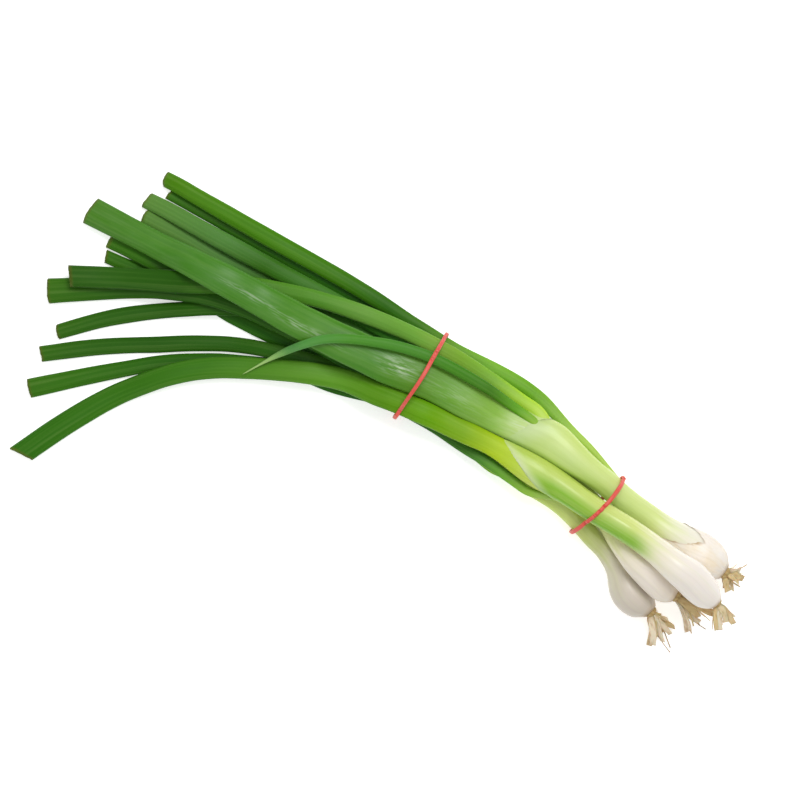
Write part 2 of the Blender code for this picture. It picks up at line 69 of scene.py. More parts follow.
def curveThrough(points, count):
    # cubic Hermite curve through the points with central slopes, at count equal steps of chord length
    points = np.asarray(points, float)
    chord = along(points[:, :3])
    slope = np.gradient(points, chord, axis=0)
    at = np.linspace(0, chord[-1], count)
    k = np.clip(np.searchsorted(chord, at, "right") - 1, 0, len(points) - 2)
    span = (chord[k + 1] - chord[k])[:, None]
    t = (at - chord[k])[:, None] / span
    return ((2 * t**3 - 3 * t**2 + 1) * points[k] + (t**3 - 2 * t**2 + t) * span * slope[k]
            + (3 * t**2 - 2 * t**3) * points[k + 1] + (t**3 - t**2) * span * slope[k + 1])


def waves(x, seed, length, octaves=3):
    # smooth noise in one variable: sum of sines of random phase, each octave half as long and half as high
    own = np.random.default_rng(seed)
    total = 0
    for k in range(octaves):
        for _ in range(2):
            total = total + np.sin(2 * np.pi * x / (length / 2**k) * own.uniform(0.7, 1.3)
                                   + own.uniform(0, 6.28)) * own.uniform(0.5, 1) / 2**k
    return total / 2


def gridMesh(name, points, uv, layers, caps=()):
    # points: rows by columns by 3. Columns close on themselves. caps: rows that end in a point
    rows, columns = points.shape[:2]
    r, c = np.meshgrid(np.arange(rows - 1), np.arange(columns), indexing="ij")
    nextC = (c + 1) % columns
    quads = np.stack([r * columns + c, r * columns + nextC, (r + 1) * columns + nextC,
                      (r + 1) * columns + c], axis=-1).reshape(-1, 4)
    cornersUv = np.stack([uv[r, c], uv[r, nextC], uv[r + 1, nextC], uv[r + 1, c]], axis=2)
    # the last column's right side goes on past the seam
    wrap = np.stack([0 * c, nextC == 0, nextC == 0, 0 * c], axis=2) * 1.0
    width = 2 * uv[:, -1, 0] - uv[:, -2, 0]
    cornersUv[..., 0] += wrap * np.stack([width[r], width[r], width[r + 1], width[r + 1]], axis=2)
    cornersUv = cornersUv.reshape(-1, 2)
    verts = points.reshape(-1, 3)
    loops = [quads.reshape(-1)]
    starts = np.arange(len(quads)) * 4
    totals = np.full(len(quads), 4)
    extraUv = []
    for row in caps:
        ring = np.arange(columns) + row * columns
        verts = np.vstack([verts, verts[ring].mean(axis=0)])
        tip = len(verts) - 1
        turned = np.roll(ring, -1)
        fan = np.stack([turned, ring, np.full(columns, tip)] if row == 0 else
                       [ring, turned, np.full(columns, tip)], axis=1)
        starts = np.r_[starts, starts[-1] + totals[-1] + np.arange(columns) * 3]
        totals = np.r_[totals, np.full(columns, 3)]
        loops.append(fan.reshape(-1))
        extraUv.append(np.repeat(uv[row, :1], columns * 3, axis=0))
    loops = np.concatenate(loops)
    mesh = bpy.data.meshes.new(name)
    mesh.vertices.add(len(verts))
    mesh.vertices.foreach_set("co", verts.reshape(-1).astype(np.float32))
    mesh.loops.add(len(loops))
    mesh.loops.foreach_set("vertex_index", loops.astype(np.int32))
    mesh.polygons.add(len(starts))
    mesh.polygons.foreach_set("loop_start", starts.astype(np.int32))
    mesh.polygons.foreach_set("loop_total", totals.astype(np.int32))
    mesh.update(calc_edges=True)
    layer = mesh.uv_layers.new(name="UVMap")
    allUv = np.vstack([cornersUv] + extraUv)
    layer.data.foreach_set("uv", allUv.reshape(-1).astype(np.float32))
    for key, values in layers.items():
        values = np.asarray(values, float).reshape(-1)
        more = [values[row * columns:(row + 1) * columns].mean() for row in caps]
        attribute = mesh.attributes.new(key, "FLOAT", "POINT")
        attribute.data.foreach_set("value", np.r_[values, more].astype(np.float32))
    mesh.shade_smooth()
    mesh.validate()
    return mesh


def circle(count):
    return np.linspace(0, 2 * np.pi, count, endpoint=False)


def section(middle, a, b, side, up):
    # P = middle + a side + b up
    return middle + a[..., None] * side + b[..., None] * up


def kept(points, low=floorGap):
    # raises what lies lower than a height
    points[..., 2] = np.maximum(points[..., 2], low)
    return points


def newObject(name, data):
    made = bpy.data.objects.new(name, data)
    bpy.context.scene.collection.objects.link(made)
    return made


def addPiece(name, mesh, material, slot, *nodes):
    piece = newObject(name, mesh)
    mesh.materials.append(material)
    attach(piece, "root")
    if nodes:
        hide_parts(*nodes)


def netOf(name):
    # A CAD node's points with doubles merged, and for each point the points that an edge joins to it
    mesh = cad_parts[name].data
    raw = np.empty(len(mesh.vertices) * 3, np.float32)
    mesh.vertices.foreach_get("co", raw)
    raw = raw.reshape(-1, 3).astype(float)
    points, index = np.unique(np.round(raw, 6), axis=0, return_inverse=True)
    index = index.reshape(-1)
    links = [set() for _ in points]
    for edge in mesh.edges:
        a, b = index[edge.vertices[0]], index[edge.vertices[1]]
        if a != b:
            links[a].add(b)
            links[b].add(a)
    return points, links


def ringsOf(name, sides, fromLow):
    # The CAD skin's rings, walked ring by ring from the end that lies lowest or highest in X
    points, links = netOf(name)
    order = np.argsort(points[:, 0])
    ring = set(int(k) for k in (order[:sides] if fromLow else order[-sides:]))
    seen = set(ring)
    rings = []
    while len(ring) == sides:
        rings.append(points[sorted(ring)])
        ring = set().union(*(links[k] for k in ring)) - seen
        seen |= ring
    return rings


cadForm = {"leafSides": 8, "stalkSides": 12, "innerRing": 1.5 * mm}


def strandOf(name, sides, fromLow):
    # Centre, width and thickness of each ring. A ring close to the one before it is the inner ring of a
    # hollow end, and stops the walk
    found = []
    for ring in ringsOf(name, sides, fromLow):
        middle = ring.mean(axis=0)
        if found and np.linalg.norm(middle - found[-1].mean(axis=0)) < cadForm["innerRing"]:
            break
        found.append(ring)
    if not fromLow:
        found = found[::-1]
    middles = np.array([ring.mean(axis=0) for ring in found])
    ahead = unit(np.gradient(middles[:, :2], axis=0))
    side = np.stack([-ahead[:, 1], ahead[:, 0]], axis=1)
    flat = math.cos(math.pi / sides)
    rows = []
    for ring, middle, across in zip(found, middles, side):
        reach = (ring[:, :2] - middle[:2]) @ across
        low, high = ring[:, 2].min(), ring[:, 2].max()
        rows.append([*middle[:2], (low + high) / 2, np.ptp(reach) / flat, (high - low) / flat])
    return np.array(rows)


leafCount = {1: 4, 2: 3, 3: 4, 4: 3}
leafNames = [f"onion_{n}_leaf_{k}" for n in leafCount for k in range(1, leafCount[n] + 1)]
leafStrands = {name: strandOf(name, cadForm["leafSides"], True) for name in leafNames}
stalkStrands = {n: strandOf(f"onion_{n}_stalk", cadForm["stalkSides"], False) for n in leafCount}
say(f"read {len(leafStrands)} leaves and {len(stalkStrands)} stalks from the frame")


def setNode(tree, node, settings, links):
    # sets a node's properties and input values, and links its inputs from given outputs
    for key, value in settings.items():
        if isinstance(key, str) and hasattr(node, key) and key not in node.inputs:
            setattr(node, key, value)
        else:
            node.inputs[key].default_value = value
    for key, output in links.items():
        tree.links.new(output, node.inputs[key])


def addNode(tree, kind, settings=None, links=None):
    node = tree.nodes.new(kind)
    setNode(tree, node, settings or {}, links or {})
    return node


def uvOf(tree):
    return addNode(tree, "ShaderNodeUVMap", {"uv_map": "UVMap"}).outputs[0]


def attributeOf(tree, key):
    return addNode(tree, "ShaderNodeAttribute", {"attribute_name": key}).outputs["Fac"]


def bumped(tree, height, strength, depth):
    settings = {"Strength": strength, "Distance": depth}
    return addNode(tree, "ShaderNodeBump", settings, {"Height": height}).outputs[0]


def newMaterial(name):
    made = bpy.data.materials.new(name)
    made.use_nodes = True
    tree = made.node_tree
    return made, tree, tree.nodes["Principled BSDF"]


def ramp(tree, factor, stops):
    node = addNode(tree, "ShaderNodeValToRGB", links={"Fac": factor})
    line = node.color_ramp
    line.elements[0].position, line.elements[0].color = stops[0][0], linear(stops[0][1])
    line.elements[1].position, line.elements[1].color = stops[-1][0], linear(stops[-1][1])
    for place, code in stops[1:-1]:
        line.elements.new(place).color = linear(code)
    return node.outputs["Color"]


def feed(tree, sockets, values):
    # each value is an output, which is linked, or a plain value
    for socket, value in zip(sockets, values):
        if isinstance(value, bpy.types.NodeSocket):
            tree.links.new(value, socket)
        else:
            socket.default_value = value


def mixed(tree, factor, first, second, blend="MIX"):
    # inputs 6 and 7 and output 2 are the node's colours
    node = addNode(tree, "ShaderNodeMix", {"data_type": "RGBA", "blend_type": blend})
    feed(tree, (node.inputs[0], node.inputs[6], node.inputs[7]), (factor, first, second))
    return node.outputs[2]


def numbers(tree, operation, *values):
    node = addNode(tree, "ShaderNodeMath", {"operation": operation})
    feed(tree, node.inputs, values)
    return node.outputs[0]


def ranged(tree, value, low, high, toLow=0.0, toHigh=1.0):
    settings = {1: low, 2: high, 3: toLow, 4: toHigh}
    return addNode(tree, "ShaderNodeMapRange", settings, {0: value}).outputs[0]


def streaks(tree, uv, acrossScale, alongScale, detail, shift=0.0):
    # noise drawn out along the leaf; the UV map is in centimetres, around and along
    settings = {"Scale": (acrossScale, alongScale, 1), "Location": (shift, 0, 0)}
    place = addNode(tree, "ShaderNodeMapping", settings, {"Vector": uv})
    return addNode(tree, "ShaderNodeTexNoise", {"Scale": 1.0, "Detail": detail, "Roughness": 0.55},
                   {"Vector": place.outputs[0]}).outputs["Fac"]


# Colour runs along the bunch: each stop stands at millimetres of X past the middle of the bunch
colourSpan = {"low": -160.0, "high": 180.0}


def colourPlace(x):
    return (x - colourSpan["low"]) / (colourSpan["high"] - colourSpan["low"])


# Fresh onion tissue: white flesh below, yellow-green sheaths, then green blades
whites = [(-160, "#efe7df"), (-140, "#eee6dc"), (-127, "#eae6d4"), (-119, "#e2e6bc"),
          (-111, "#d4e094")]
yellowWhites = [(-160, "#f0e8e0"), (-140, "#efe7de"), (-128, "#ebe4cf"), (-119, "#dfe2ac"),
                (-111, "#cfdb80")]
# Darker whites for onion 4, whose bulb lies lowest, under the others: painted shade
shadedWhites = [(-160, "#cabfb2"), (-140, "#cdc3b6"), (-127, "#cac5ac"), (-119, "#bfc486"),
              (-111, "#b5c262")]
# Darker cream whites for onion 3, whose bulb lies under onion 2's: the cream tint is its own, the darkening
# is painted shade
shadedCreamWhites = [(-160, "#e4d8c8"), (-140, "#e9dfd3"), (-127, "#e4dbc6"), (-119, "#d4d59a"),
               (-111, "#c0cc66")]
greens = {
    "flesh": [(-95, "#cbde82"), (-68, "#c2d86c"), (-46, "#92bb40"), (-22, "#66a030"), (180, "#3a7020")],
    "ripe": [(-95, "#c2d468"), (-68, "#b6cf4c"), (-46, "#a8c640"), (-22, "#7ba428"), (180, "#3a7020")],
    "waxy": [(-66, "#d0e09c"), (-57, "#c4da88"), (-48, "#a9c964"), (-38, "#8bb948"), (-28, "#79a83c"),
             (-13, "#62982a"), (4, "#54881c"), (25, "#427f18"), (57, "#47821c"), (107, "#417d1c"),
             (140, "#457f20"), (180, "#457b1c")],
    # Here the dark stop at 120 is painted shadow, where onion 1's second leaf runs on past its widest leaf
    "pale": [(-68, "#c3de3c"), (-46, "#a2d010"), (-28, "#7ab02c"), (0, "#7ca53a"), (15, "#6fa53c"),
             (40, "#66993a"), (60, "#528c26"), (90, "#4c8420"), (120, "#255407"), (150, "#2f5f14"),
             (180, "#2c5a10")],
    "bright": [(-86, "#bcd566"), (-76, "#a4c64c"), (-64, "#82b238"), (-46, "#66a214"),
               (-26, "#76b02c"), (-8, "#6aa030"), (12, "#3b7410"), (30, "#2c6408"), (60, "#3c740a"),
               (100, "#45800c"), (180, "#4c7e10")],
    "young": [(-68, "#a9cc44"), (-46, "#589c0a"), (-30, "#3a7408"), (-8, "#40801a"), (12, "#47842a"),
              (40, "#4c8a2c"), (60, "#56944a"), (75, "#6a9c50")],
    "yellow": [(-66, "#bdd158"), (-56, "#b2cd2c"), (-46, "#acc90c"), (-28, "#7aa60c"),
               (-8, "#649c0c"), (13, "#54890e"), (35, "#5c9424"), (55, "#558a24"), (95, "#3e7618"),
               (180, "#28660c")],
    "blade": [(-68, "#accb4e"), (-46, "#7fb42e"), (-22, "#4f921a"), (4, "#3f7c18"), (60, "#2c5f10"),
              (120, "#27590a"), (150, "#2f6212"), (180, "#3a6c12")],
    "grey": [(-68, "#a6cc45"), (-22, "#4f952a"), (30, "#43882a"), (60, "#3f7a24"), (90, "#356a14"),
             (115, "#54883c"), (150, "#5c8a3c"), (180, "#608a38")],
    "dark": [(-68, "#86b52c"), (-54, "#62a01c"), (-40, "#3f7e1a"), (-22, "#356f1a"), (4, "#2f6618"),
             (60, "#28680a"), (120, "#2e6410"), (150, "#366e12"), (180, "#3e7016")],
}
# The wax tints are a grey bloom painted on upward faces only: real wax, partly a painted sheen
leafTints = {"vein": "#c4dd86", "line": "#2f6a18", "waxAndSheenBelow": "#e2eabc", "waxAndSheen": "#bfd8a8",
             # The film tint is dry film painted on upward faces, partly a painted highlight
             "filmAndHighlight": "#e9efd2", "scuff": "#e6f0dc", "inside": "#6f9a3e"}
# Noise along a leaf: scale round it and along it, both per centimetre, then detail and shift
leafGrain = {"broad": (2.4, 0.10, 2.0, 0.0), "fine": (11.0, 0.12, 1.5, 3.1), "scuff": (16.0, 1.1, 4.0, 1.3)}
waxFade = (-60, -10)  # millimetres of X between which a sheath's wax turns into a blade's


def leafMaterial(name, stops, look):
    # A waxed, ribbed blade: satin skin with faint veins lengthwise, a thin grey wax bloom painted only on
    # what faces up, so partly a painted sheen, and a dry brownish line round the cut. Veins are spaced 0.9
    # mm, a little coarser than life, to show
    made, tree, shader = newMaterial(name)
    uv = uvOf(tree)
    value = {key: attributeOf(tree, key)
             for key in ("place", "rim", "inside", "top", "streakAndShade", "filmAndHighlight", "scuff")}
    broad = streaks(tree, uv, *leafGrain["broad"])
    fine = streaks(tree, uv, *leafGrain["fine"])
    patches = streaks(tree, uv, *look["patch"], 3.0, 7.7)
    drift = ranged(tree, broad, 0.25, 0.75, -look["drift"], look["drift"])
    moved = numbers(tree, "ADD", value["place"], drift)
    colour = ramp(tree, moved, [(colourPlace(x), code) for x, code in stops])
    veins = ranged(tree, fine, 0.45, 0.75, 0.0, look["veins"])
    colour = mixed(tree, veins, colour, linear(leafTints["vein"]))
    lines = ranged(tree, fine, 0.5, 0.25, 0.0, look["lines"])
    colour = mixed(tree, lines, colour, linear(leafTints["line"]), "MULTIPLY")
    # Grey wax bloom on the upward faces only: real wax, partly a painted sheen
    waxAndSheen = numbers(tree, "MULTIPLY", value["top"], ranged(tree, patches, *look["waxAndSheenPatches"]))
    fade = [colourPlace(x) for x in waxFade]
    pale = ranged(tree, value["place"], *fade, look["bloomAndSheenLow"], look["bloomAndSheen"])
    grey = mixed(tree, ranged(tree, value["place"], *fade), linear(leafTints["waxAndSheenBelow"]),
                 linear(leafTints["waxAndSheen"]))
    colour = mixed(tree, numbers(tree, "MULTIPLY", waxAndSheen, pale), colour, grey)
    # Green streak on one flank; on onion 1 it is painted shade
    streakAndShadeMask = numbers(tree, "MULTIPLY", value["streakAndShade"], ranged(tree, broad, 0.3, 0.6, 0.6, 1.0))
    # Dry film on upward faces: partly a real membrane, partly a painted highlight
    thin = numbers(tree, "MULTIPLY", value["filmAndHighlight"], ranged(tree, patches, 0.35, 0.6, 0.45, 1.0))
    specks = ranged(tree, streaks(tree, uv, *leafGrain["scuff"]), 0.46, 0.62)
    rubbed = numbers(tree, "MULTIPLY", value["scuff"], specks)
    cut = numbers(tree, "MULTIPLY", value["rim"], 0.6)
    hollow = numbers(tree, "MULTIPLY", value["inside"], 0.8)
    layered = [(streakAndShadeMask, look["streakAndShadeColour"]), (thin, leafTints["filmAndHighlight"]), (rubbed, leafTints["scuff"]),
               (cut, look["rim"]), (hollow, leafTints["inside"])]
    for factor, code in layered:
        colour = mixed(tree, factor, colour, linear(code))
    rough = ranged(tree, patches, 0.3, 0.7, look["rough"] - 0.05, look["rough"] + 0.08)
    height = numbers(tree, "ADD", fine, numbers(tree, "MULTIPLY", patches, 0.3))
    bump = bumped(tree, height, look["bump"], 0.3 * mm)
    setNode(tree, shader, {"IOR": 1.43, "Subsurface Weight": look["soft"], "Subsurface Scale": 1.8 * mm,
                           "Subsurface Radius": look["softRadius"], "Specular IOR Level": look["shine"],
                           "Coat Weight": look["coat"], "Coat Roughness": 0.25},
            {"Base Color": colour, "Roughness": rough, "Normal": bump})
    return made


# The two bloom strengths, near the sheath and along the blade, set the grey wax painted on upward faces:
# partly a painted sheen
bladeLook = {"drift": 0.014, "veins": 0.05, "lines": 0.1, "bloomAndSheen": 0.0, "bloomAndSheenLow": 0.12, "rough": 0.42,
             "bump": 0.35, "soft": 0.04, "softRadius": (0.4, 1.0, 0.1), "shine": 0.12, "coat": 0.0,
             "streakAndShadeColour": "#a9c97a", "rim": "#6e6a2c", "patch": (0.9, 0.35),
             "waxAndSheenPatches": (0.3, 0.75, 0.35, 1.0)}
skins = {key: leafMaterial("leaf_" + key, whites + greens[key], bladeLook)
         for key in ("bright", "young", "yellow", "blade", "grey", "dark")}
skins["pale"] = leafMaterial("leaf_pale", whites + greens["pale"], {**bladeLook, "bloomAndSheenLow": 0.3})
# The widest leaf has faint streaks of grey wax, rubbed off between them; the wax is painted on upward faces
# only, partly a painted sheen
waxyLook = {**bladeLook, "bloomAndSheen": 0.05, "bloomAndSheenLow": 0.42, "rough": 0.38, "shine": 0.25, "coat": 0.02,
            "patch": (3.2, 0.45), "waxAndSheenPatches": (0.4, 0.66, 0.1, 1.0)}
skins["waxy"] = leafMaterial("leaf_waxy", whites + greens["waxy"], waxyLook)
# White flesh: smooth and moist, light passes a little way in
# Its streak colour is a saturated green; on onion 1's stalk it is painted shade
fleshLook = {**bladeLook, "drift": 0.016, "veins": 0.12, "lines": 0.06, "bloomAndSheen": 0.16, "bloomAndSheenLow": 0.4,
             "rough": 0.36, "soft": 0.2, "softRadius": (1.0, 0.85, 0.6), "shine": 0.45, "coat": 0.14,
             "streakAndShadeColour": "#76b000", "rim": "#b8935c"}
skins["flesh"] = leafMaterial("onion_flesh", whites + greens["flesh"], fleshLook)
skins["ripe"] = leafMaterial("onion_flesh_yellower", yellowWhites + greens["ripe"],
                             {**fleshLook, "bloomAndSheenLow": 0.25})
# Onion 4's flesh: its darker whites are painted shade
skins["shade"] = leafMaterial("onion_flesh_painted_shade", shadedWhites + greens["ripe"],
                              {**fleshLook, "bloomAndSheenLow": 0.2})
# Onion 3's flesh: cream whites, darkened by painted shade
skins["creamShade"] = leafMaterial("onion_flesh_cream_painted_shade", shadedCreamWhites + greens["ripe"], fleshLook)

# Each onion: its finish and how far its white runs past the common place. Its outer sheath ends at an edge:
# how far before the stalk's end, how far it slants, and on which side, in degrees, it reaches farthest.
# Then the strength of its green streak, which on onion 1 is painted shade, the dry film's length and
# strength, the film being painted on upward faces only and partly a painted highlight, and how far it leans
# between two places along X. Lengths are in millimetres
plainOnion = {"edge": 4.0, "slant": 8.0, "streakAndShade": 0.0, "filmAndHighlight": (8, 0.1), "lean": (0, -100, 0)}
onionLooks = {
    # Onion 1's streak is painted shade on the flank of its stalk
    1: {"skin": "flesh", "white": 14.5, "edge": -3.0, "slant": 9.0, "side": 20, "streakAndShade": 0.25,
        "filmAndHighlight": (16, 0.3), "lean": (0.4, -128, 0)},
    2: {"skin": "ripe", "white": 4.5, "edge": 2.0, "slant": 15.0, "side": 165, "streakAndShade": 1.0,
        "filmAndHighlight": (11, 0.5), "lean": (-0.75, -128, 5)},
    # Onions 3 and 4 take darker whites, painted shade where their bulbs lie under the others
    3: {"skin": "creamShade", "white": -8.5, "side": 90},
    4: {"skin": "shade", "white": -10.5, "side": 60},
}
onionLooks = {n: {**plainOnion, "wrap": f"onion_{n}_leaf_1", **look} for n, look in onionLooks.items()}
# Where a leaf differs from the plain one. "ahead" is its colour's lead, "tuck" how far back in its stalk it
# starts, "dive" lowers its base and "cut" slants its end, in millimetres. A scuff has its X, its degrees
# round the section, its half length, half width and strength
plainLeaf = {"skin": "dark", "ahead": 0, "groove": 0.05, "flat": 0.1, "ridge": 0.0, "tuck": 20 * mm,
             "dive": 1.0, "cut": 0.0, "lean": (0, 0, 0), "scuffs": ()}
leafLooks = {
    "onion_1_leaf_1": {"skin": "waxy", "groove": 0.0, "flat": 0.25, "ridge": 0.14,
                       "scuffs": [(14, 95, 8, 24, 0.5), (-14, 80, 14, 30, 0.12), (60, 75, 16, 12, 0.3),
                                  (90, 85, 14, 9, 0.3), (-52, 95, 8, 30, 0.3)]},
    "onion_1_leaf_2": {"skin": "pale", "groove": 0.1, "flat": 0.2},
    "onion_1_leaf_3": {"skin": "bright", "groove": 0.0, "ridge": 0.06, "tuck": 46 * mm,
                       "lean": (1.0, -130, -50)},
    "onion_1_leaf_4": {"skin": "young", "groove": 0.0, "flat": 0.0, "dive": 4.2},
    "onion_2_leaf_1": {"skin": "yellow", "groove": 0.0, "flat": 0.2, "ridge": 0.08, "cut": -2.4},
    "onion_2_leaf_2": {"ahead": 2, "groove": 0.06},
    "onion_3_leaf_1": {"skin": "grey"},
    "onion_3_leaf_2": {"skin": "grey", "ahead": 8, "ridge": 0.05, "lean": (-0.9, 118, 220)},
    "onion_4_leaf_1": {"skin": "blade", "groove": 0.06, "flat": 0.2, "ridge": 0.06},
    "onion_4_leaf_2": {"skin": "blade"},
    "onion_4_leaf_3": {"skin": "blade"},
}
leafLooks = {name: {**plainLeaf, **leafLooks.get(name, {})} for name in leafNames}
youngLeaf = "onion_1_leaf_4"
# Ridge and groove: radians round the section and half width. Waves: share and length. "free" is where a
# leaf takes its own shape, "tip" where the young leaf narrows
leafForm = {"step": 1.6 * mm, "around": 40, "wall": 0.7 * mm, "thin": 0.95, "plump": 0.12 * mm,
            "ridge": (1.15, 0.35), "groove": (1.75, 0.4), "free": (0.035, 0.08), "tip": (4 * mm, 26 * mm),
            "wander": (0.03, 0.07), "ripple": (0.06, 0.05), "roll": (0.08, 0.14)}
# The cut end: "notch" is a depth and a length in radians, "depths" are the inner wall's rings
cutForm = {"slant": 0.8, "notch": (0.15 * mm, 2.1), "fray": 0.05 * mm, "back": 0.3 * mm, "reach": 0.012,
           "rim": 1.4 * mm, "depths": (0.0, 0.4, 2.0, 5.0, 9.0, 14.0), "innerLow": 0.3 * mm}
stalkForm = {"step": 1.2 * mm, "around": 72, "ribs": 0.012, "wander": 0.015, "wall": 0.15 * mm,
             "press": 0.215 * mm, "pressed": 6 * mm, "folds": (0.3, 1.2, 5.0), "sink": 1.2 * mm}
wrapForm = {"before": 8 * mm, "after": 16 * mm, "inset": 0.2 * mm, "start": 30 * mm, "rise": 28 * mm}


def smoothed(rows, rounds):
    rows = rows.copy()
    for _ in range(rounds):
        rows[1:-1] = (rows[:-2] + 2 * rows[1:-1] + rows[2:]) / 4
    return rows


def resampled(rows, step):
    return smoothed(curveThrough(rows, int(along(rows[:, :3])[-1] / step)), 4)


def wrappedStrand(number):
    # The stalk's rings and, past its neck, the rings of the leaf that wraps it, eased into each other
    stalk, leaf = stalkStrands[number], leafStrands[onionLooks[number]["wrap"]]
    left = along(stalk[:, :3])
    left = left[-1] - left
    passed = along(leaf[:, :3])
    joined = np.vstack([stalk[left > wrapForm["before"]], leaf[passed > wrapForm["after"]]])
    return leaned(joined, *onionLooks[number]["lean"]), left[0]


def rootedStrand(name):
    # The leaf's rings with a stretch before them: the wrapping leaf starts inside the stalk's skin, and
    # each of the others starts deep in its own stalk
    number, look = int(name[6]), leafLooks[name]
    stalk, leaf = stalkStrands[number], leafStrands[name]
    if name == onionLooks[number]["wrap"]:
        rows, length = wrappedStrand(number)
        rows = resampled(rows, leafForm["step"])
        run = along(rows[:, :3])
        inset = 2 * wrapForm["inset"] * (1 - smoothStep(length + 5 * mm, length + 25 * mm, run))
        rows[:, 3:5] -= inset[:, None]
        return rows[run > length - wrapForm["start"]]
    back = along(stalk[:, :3])
    near = np.argmin(np.linalg.norm(stalk[:, :3] - leaf[0, :3], axis=1))
    deep = stalk[np.argmin(np.abs(back - (back[near] - look["tuck"])))]
    size = leaf[0, 3:5]
    first = deep[:3] * 0.75 + leaf[0, :3] * 0.25
    middle = deep[:3] * 0.3 + leaf[0, :3] * 0.7
    rows = np.vstack([[*first, *(size * 0.5)], [*middle, *(size * 0.8)], leaf])
    rows = resampled(rows, leafForm["step"])
    begin = np.argmin(np.linalg.norm(rows[:, :3] - leaf[0, :3], axis=1))
    run = along(rows[:, :3])
    rows[:, 2] -= look["dive"] * mm * (1 - smoothStep(0, wrapForm["rise"], run - run[begin]))
    return leaned(rows, *look["lean"])


def leaned(rows, amount, low, high):
    # moves the rows sideways by an amount between two places along X, so that neighbours meet
    ease = 20
    side = frameAlong(rows[:, :3])[1]
    x = rows[:, 0] / mm
    shift = amount * mm * smoothStep(low, low + ease, x) * (1 - smoothStep(high - ease, high, x))
    rows[:, :3] += shift[:, None] * side
    return rows


def frameAlong(path):
    # level side vector and upward vector of each row, with the direction along it
    ahead = unit(np.gradient(path, axis=0))
    side = unit(np.cross([0, 0, 1.0], ahead))
    return ahead, side, np.cross(ahead, side)


def bell(x, middle, width):
    return np.exp(-((x - middle) / width) ** 2)


def placeOf(x, number, ahead=0.0):
    # place on the colour line: the onion's own white fades out by X = -70, the leaf's lead fades in by -50
    x = x / mm
    white = onionLooks[number]["white"] * (1 - smoothStep(-95, -70, x))
    return colourPlace(x + white + ahead * smoothStep(-85, -50, x))


